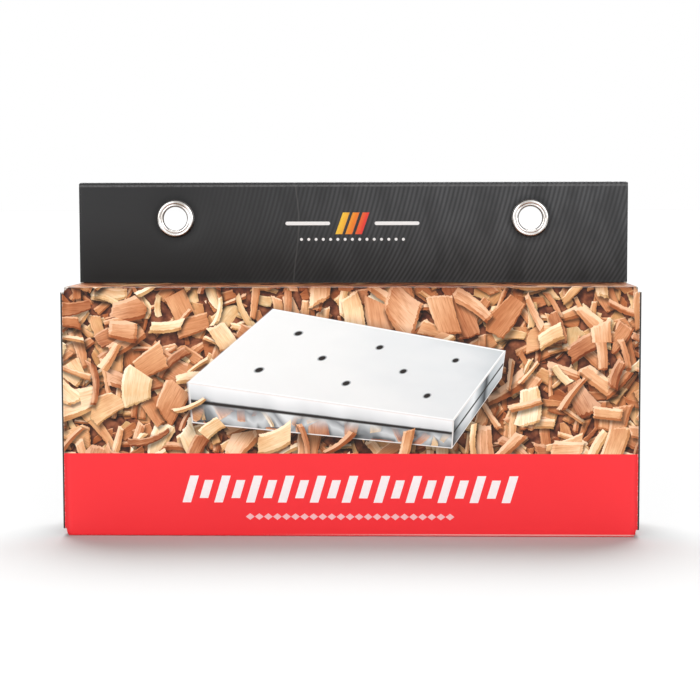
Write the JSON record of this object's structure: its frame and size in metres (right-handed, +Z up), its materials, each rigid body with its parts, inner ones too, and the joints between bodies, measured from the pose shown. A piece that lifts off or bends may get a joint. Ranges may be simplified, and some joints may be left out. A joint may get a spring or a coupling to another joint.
{
  "type": "boxed grill smoker box",
  "caption": "Printed hang carton with an eyeleted header card and tuck-in end closures, holding a stainless steel wood-chip smoker box with a perforated lid",
  "frame": {"origin": "middle of the footprint, on the surface that the carton stands on", "axes": "+X along the carton's length to the right seen from the front, +Y from the printed front to the back, +Z up towards the header card"},
  "size_m": [0.235, 0.0454, 0.1445],
  "materials": {
    "printed_board": "satin aqueous coat over a print of wood chips with a red band",
    "charcoal_board": "satin aqueous coat over charcoal print",
    "red_board": "satin aqueous coat over red print",
    "white_board": "uncoated white back of the board",
    "nickel": "bright nickel plate",
    "stainless": "bright rolled stainless sheet"
  },
  "bodies": {
    "carton": {"front_panel": "printed_board", "top_panel": "printed_board", "bottom_panel": "red_board", "back_panel": "charcoal_board", "glue_flap": "white_board"},
    "header": {"header_front_ply": "charcoal_board", "header_back_ply": "charcoal_board", "left_eyelet": "nickel", "right_eyelet": "nickel", "left_eyelet_washer": "nickel", "right_eyelet_washer": "nickel"},
    "left_end": {"left_end_closure": "charcoal_board"},
    "left_lip": {"left_tuck_lip": "charcoal_board"},
    "left_top_flap": {"left_top_dust_flap": "white_board"},
    "left_bottom_flap": {"left_bottom_dust_flap": "white_board"},
    "right_end": {"right_end_closure": "charcoal_board"},
    "right_lip": {"right_tuck_lip": "charcoal_board"},
    "right_top_flap": {"right_top_dust_flap": "white_board"},
    "right_bottom_flap": {"right_bottom_dust_flap": "white_board"},
    "tray": {"smoker_tray": "stainless"},
    "lid": {"smoker_lid": "stainless"}
  },
  "joints": [
    {"name": "header_fold", "type": "hinge", "parent": "carton", "child": "header", "pos_m": [0, 0.021, 0.10295], "axis": [1, 0, 0], "range_deg": [-90, 85]},
    {"name": "left_end_fold", "type": "hinge", "parent": "carton", "child": "left_end", "pos_m": [-0.1167, -0.0219, 0.05], "axis": [0, 0, 1], "range_deg": [0, 130]},
    {"name": "left_lip_fold", "type": "hinge", "parent": "left_end", "child": "left_lip", "pos_m": [-0.1167, 0.0199, 0.05], "axis": [0, 0, 1], "range_deg": [0, 72]},
    {"name": "left_top_flap_fold", "type": "hinge", "parent": "carton", "child": "left_top_flap", "pos_m": [-0.1156, 0, 0.101], "axis": [0, 1, 0], "range_deg": [0, 104]},
    {"name": "left_bottom_flap_fold", "type": "hinge", "parent": "carton", "child": "left_bottom_flap", "pos_m": [-0.1156, 0, 0.0008], "axis": [0, -1, 0], "range_deg": [0, 85]},
    {"name": "right_end_fold", "type": "hinge", "parent": "carton", "child": "right_end", "pos_m": [0.1167, -0.0219, 0.05], "axis": [0, 0, -1], "range_deg": [0, 130]},
    {"name": "right_lip_fold", "type": "hinge", "parent": "right_end", "child": "right_lip", "pos_m": [0.1167, 0.0199, 0.05], "axis": [0, 0, -1], "range_deg": [0, 72]},
    {"name": "right_top_flap_fold", "type": "hinge", "parent": "carton", "child": "right_top_flap", "pos_m": [0.1156, 0, 0.101], "axis": [0, -1, 0], "range_deg": [0, 104]},
    {"name": "right_bottom_flap_fold", "type": "hinge", "parent": "carton", "child": "right_bottom_flap", "pos_m": [0.1156, 0, 0.0008], "axis": [0, 1, 0], "range_deg": [0, 85]},
    {"name": "smoker_box_shift", "type": "slide", "parent": "carton", "child": "tray", "axis": [1, 0, 0], "range_m": [-0.002, 0.002]},
    {"name": "smoker_lid_lift", "type": "slide", "parent": "tray", "child": "lid", "axis": [0, -1, 0], "range_m": [0, 0.0018]}
  ],
  "couplings": [
    {"joint": "left_lip_fold", "follows": "left_end_fold", "ratio": 0.55},
    {"joint": "left_top_flap_fold", "follows": "left_end_fold", "ratio": 0.8},
    {"joint": "left_bottom_flap_fold", "follows": "left_end_fold", "ratio": 0.65},
    {"joint": "right_lip_fold", "follows": "right_end_fold", "ratio": 0.55},
    {"joint": "right_top_flap_fold", "follows": "right_end_fold", "ratio": 0.8},
    {"joint": "right_bottom_flap_fold", "follows": "right_end_fold", "ratio": 0.65}
  ]
}
